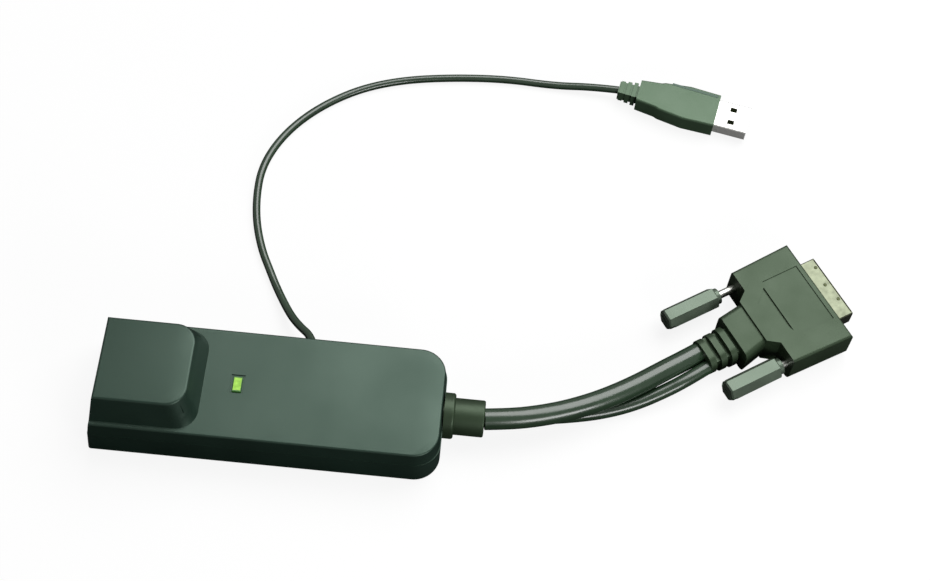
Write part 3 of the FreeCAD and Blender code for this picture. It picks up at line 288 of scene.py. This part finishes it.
def pieceFrom(mesh, name, material):
    data = bpy.data.meshes.new(name)
    mesh.to_mesh(data)
    mesh.free()
    data.materials.append(material)
    return linked(name, data)


def moved(x, y, z):
    return Matrix.Translation((x * mm, y * mm, z * mm))


def scaled(x, y, z):
    return Matrix.Diagonal((x, y, z, 1))


def turned(degrees):
    return Matrix.Rotation(math.radians(degrees), 4, "Z")


# x, y and yaw put a plug's own axes in the frame, as in the solids; along and side run on them
shellShadeMarks = {
    "x": 184.8, "y": 61.1, "top": 10.8, "yaw": 33.3,
    "dimples": [(4.6, 8.8), (3.6, 1.4), (4.6, -5.4)], "radius": 0.65, "flatten": 0.2,
    "rimAlong": 5.75, "rimLong": 0.4, "rimWide": 23.6, "rimHigh": 0.16,
}


# pressed dimples and the front rim on the video plug's shell, drawn in near-black metal as painted
# shade in the dimples and along the rolled front edge
def addShellShadeMarks(sizes):
    mesh = bmesh.new()
    for along, side in sizes["dimples"]:
        bmesh.ops.create_uvsphere(mesh, u_segments=24, v_segments=12, radius=sizes["radius"] * mm,
                                  matrix=moved(along, side, 0) @ scaled(1, 1, sizes["flatten"]))
    rimSize = scaled(sizes["rimLong"] * mm, sizes["rimWide"] * mm, sizes["rimHigh"] * mm)
    bmesh.ops.create_cube(mesh, size=1, matrix=moved(sizes["rimAlong"], 0, 0) @ rimSize)
    place = moved(sizes["x"], sizes["y"], sizes["top"]) @ turned(sizes["yaw"])
    bmesh.ops.transform(mesh, matrix=place, verts=mesh.verts)
    for face in mesh.faces:
        face.smooth = True
    piece = pieceFrom(mesh, "shellShadeMarks", paintedShadeSteel)
    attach(piece, "main")
    return piece


shellShadePiece = addShellShadeMarks(shellShadeMarks)

usbShadeStrip = {
    "x": 160.7, "y": 135.35, "top": 7.2, "yaw": -11.5,
    "from": -31, "to": -13.2, "side": 6.2, "lean": -1.5, "wide": 1.0, "high": 0.14, "bevel": 0.06,
}


# thin dark strip along one top edge of the small plug's cover: painted shade where that edge is
# bevelled away from the light, in the case's darker plastic
def addUsbShadeStrip(sizes):
    mesh = bmesh.new()
    bmesh.ops.create_cube(mesh, size=1)
    length = sizes["to"] - sizes["from"]
    middle = (sizes["to"] + sizes["from"]) / 2
    bmesh.ops.transform(mesh, verts=mesh.verts,
                        matrix=scaled(length * mm, sizes["wide"] * mm, sizes["high"] * mm))
    bmesh.ops.bevel(mesh, geom=mesh.edges, offset=sizes["bevel"] * mm, segments=2, profile=0.5,
                    affect="EDGES", material=-1)
    place = moved(sizes["x"], sizes["y"], sizes["top"]) @ turned(sizes["yaw"])
    bmesh.ops.transform(mesh, verts=mesh.verts,
                        matrix=place @ moved(middle, sizes["side"], 0) @ turned(sizes["lean"]))
    # the case's darker plastic on this strip is painted shade of the bevelled edge
    piece = pieceFrom(mesh, "usbShadeStrip", casePlastic)
    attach(piece, "main")
    return piece


usbShadeStripPiece = addUsbShadeStrip(usbShadeStrip)
print("plug details done")

# radius and points in millimetres, length in metres; the points are the routes of the solids
mainCableSizes = {
    "radius": 3.65, "length": 0.0815, "stiffness": "medium",
    "points": [(72.0, -1.1, 11.6), (80.4, 0.0, 11.4), (89.9, 2.4, 10.8), (99.9, 6.0, 10.0),
               (110.9, 11.4, 9.1), (121.9, 18.4, 8.2), (132.2, 26.2, 7.3), (138.0, 30.4, 6.8),
               (143.696, 34.698, 6.4)],
}
secondCableSizes = {
    "radius": 2.4, "length": 0.0816, "stiffness": "medium",
    "points": [(72.0, 1.9, 6.2), (78.9, 2.4, 5.7), (89.4, 4.8, 4.4), (100.4, 7.2, 3.1),
               (111.4, 9.9, 2.8), (122.4, 14.0, 3.2), (132.7, 19.5, 4.6), (140.4, 24.3, 6.1),
               (147.073, 29.558, 6.4)],
}
usbCableSizes = {
    "radius": 1.4, "length": 0.2331, "stiffness": "limp",
    "points": [(11.9, 21.7, 9.4), (10.2, 25.6, 8.6), (6.5, 29.4, 6.6), (2.7, 34.2, 4.6),
               (-0.9, 40.4, 2.7), (-4.8, 47.6, 1.5), (-8.1, 54.3, 1.4), (-11.8, 61.8, 1.4),
               (-15.3, 72.8, 1.4), (-16.9, 84.4, 1.4), (-16.7, 96.2, 1.4), (-12.8, 107.8, 1.4),
               (-5.7, 118.8, 1.4), (4.3, 128.6, 1.4), (16.5, 136.6, 1.4), (31.3, 142.0, 1.4),
               (49.3, 145.2, 1.4), (68.9, 146.9, 1.4), (87.5, 146.0, 1.4), (102.0, 146.1, 2.9),
               (111.704, 145.318, 3.6)],
}


def layCable(name, nodeName, sizes):
    curve = bpy.data.curves.new(name, "CURVE")
    curve.dimensions = "3D"
    curve.bevel_depth = sizes["radius"] * mm
    curve.bevel_resolution = 8
    curve.resolution_u = 16
    curve.use_fill_caps = True
    spline = curve.splines.new("NURBS")
    route = [[value * mm for value in point] for point in sizes["points"]]
    spline.points.add(len(route) - 1)
    for point, place in zip(spline.points, route):
        point.co = (*place, 1)
    spline.order_u = 3
    spline.use_endpoint_u = True
    curve.materials.append(cableJacket)
    piece = linked(name, curve)
    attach(piece, "main")
    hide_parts(nodeName)


layCable("mainCable", "video_cable_main", mainCableSizes)
layCable("secondCable", "video_cable_second", secondCableSizes)
layCable("usbCable", "usb_cable", usbCableSizes)
print("cables laid")


# share of what a ray sees: all of it straight or through glass, part of it in a reflection
def seenDirectly(tree, path, glossyShare):
    glossy = mathNode(tree, "MULTIPLY", path.outputs["Is Glossy Ray"], glossyShare)
    either = mathNode(tree, "MAXIMUM", path.outputs["Is Camera Ray"], glossy)
    return mathNode(tree, "MAXIMUM", either, path.outputs["Is Transmission Ray"])


floorSizes = {
    "halfSide": 4, "roughness": 0.9, "gloss": 0.1,
    "unseen": 0.05, "seen": 0.95,  # its grey as light bounces off it, and as it is looked at
    "white": 0.85, "glow": 1.04,
    "darkWithin": 0.35, "paleBeyond": 0.7,  # metres from a glossy surface to the floor that it mirrors
}


def addFloor(sizes):
    mesh = bmesh.new()
    bmesh.ops.create_grid(mesh, x_segments=1, y_segments=1, size=sizes["halfSide"])
    material, tree, shader, _ = newMaterial("paleFloor")
    shader.inputs["Roughness"].default_value = sizes["roughness"]
    shader.inputs["Specular IOR Level"].default_value = sizes["gloss"]
    path = tree.nodes.new("ShaderNodeLightPath")
    distance = tree.nodes.new("ShaderNodeMapRange")
    distance.inputs["From Min"].default_value = sizes["darkWithin"]
    distance.inputs["From Max"].default_value = sizes["paleBeyond"]
    tree.links.new(path.outputs["Ray Length"], distance.inputs["Value"])
    seen = seenDirectly(tree, path, distance.outputs["Result"])
    tone = tree.nodes.new("ShaderNodeMapRange")
    tone.inputs["To Min"].default_value = sizes["unseen"]
    tone.inputs["To Max"].default_value = sizes["seen"]
    tree.links.new(seen, tone.inputs["Value"])
    tree.links.new(tone.outputs["Result"], shader.inputs["Base Color"])
    glow = tree.nodes.new("ShaderNodeEmission")
    glow.inputs["Strength"].default_value = sizes["glow"]
    mix = tree.nodes.new("ShaderNodeMixShader")
    tree.links.new(mathNode(tree, "MULTIPLY", seen, sizes["white"]), mix.inputs["Fac"])
    tree.links.new(shader.outputs["BSDF"], mix.inputs[1])
    tree.links.new(glow.outputs["Emission"], mix.inputs[2])
    tree.links.new(mix.outputs["Shader"], tree.nodes["Material Output"].inputs["Surface"])
    pieceFrom(mesh, "floor", material)


worldSizes = {"light": 0.06, "seen": 1, "glossyShare": 0.3}


def addWorld(sizes):
    world = bpy.data.worlds.new("studio")
    bpy.context.scene.world = world
    world.use_nodes = True
    tree = world.node_tree
    background = tree.nodes["Background"]
    background.inputs["Color"].default_value = (1, 1, 1, 1)
    path = tree.nodes.new("ShaderNodeLightPath")
    level = tree.nodes.new("ShaderNodeMapRange")
    level.inputs["To Min"].default_value = sizes["light"]
    level.inputs["To Max"].default_value = sizes["seen"]
    tree.links.new(seenDirectly(tree, path, sizes["glossyShare"]), level.inputs["Value"])
    tree.links.new(level.outputs["Result"], background.inputs["Strength"])


lamps = {
    "overheadBox": {"place": (0.54, 0.75, 1.35), "size": (1.5, 1.3), "power": 25},
    "sideFill": {"place": (0.4, -0.42, 0.22), "size": (0.3, 0.2), "power": 1.3},
}
lampTarget = (0.06, 0.05, 0)


def addLamp(name, sizes):
    lamp = bpy.data.lights.new(name, "AREA")
    lamp.shape = "RECTANGLE"
    lamp.size, lamp.size_y = sizes["size"]
    lamp.energy = sizes["power"]
    thing = linked(name, lamp)
    thing.location = sizes["place"]
    aim = Vector(lampTarget) - Vector(sizes["place"])
    thing.rotation_euler = aim.to_track_quat("-Z", "Y").to_euler()


cameraSizes = {
    "lookAt": (61.56, 54.09, 0), "distance": 0.6364, "elevation": 60.04, "roll": 5.56,
    "focal": 1800, "imageWidth": 931, "sensor": 36, "nearest": 0.01,
}


def addCamera(sizes):
    elevation = math.radians(sizes["elevation"])
    roll = math.radians(sizes["roll"])
    ahead = Vector((0, math.cos(elevation), -math.sin(elevation)))
    level = Vector((1, 0, 0))
    upright = level.cross(ahead)
    right = level * math.cos(roll) + upright * math.sin(roll)
    up = upright * math.cos(roll) - level * math.sin(roll)
    data = bpy.data.cameras.new("camera")
    data.sensor_width = sizes["sensor"]
    data.lens = sizes["focal"] / sizes["imageWidth"] * sizes["sensor"]
    data.clip_start = sizes["nearest"]
    camera = linked("camera", data)
    place = Matrix((right, up, -ahead)).transposed().to_4x4()
    place.translation = Vector(sizes["lookAt"]) * mm - ahead * sizes["distance"]
    camera.matrix_world = place
    bpy.context.scene.camera = camera


addFloor(floorSizes)
addWorld(worldSizes)
for lampName, lampPlan in lamps.items():
    addLamp(lampName, lampPlan)
addCamera(cameraSizes)
bpy.context.scene.view_settings.view_transform = "Standard"
print("scene ready")
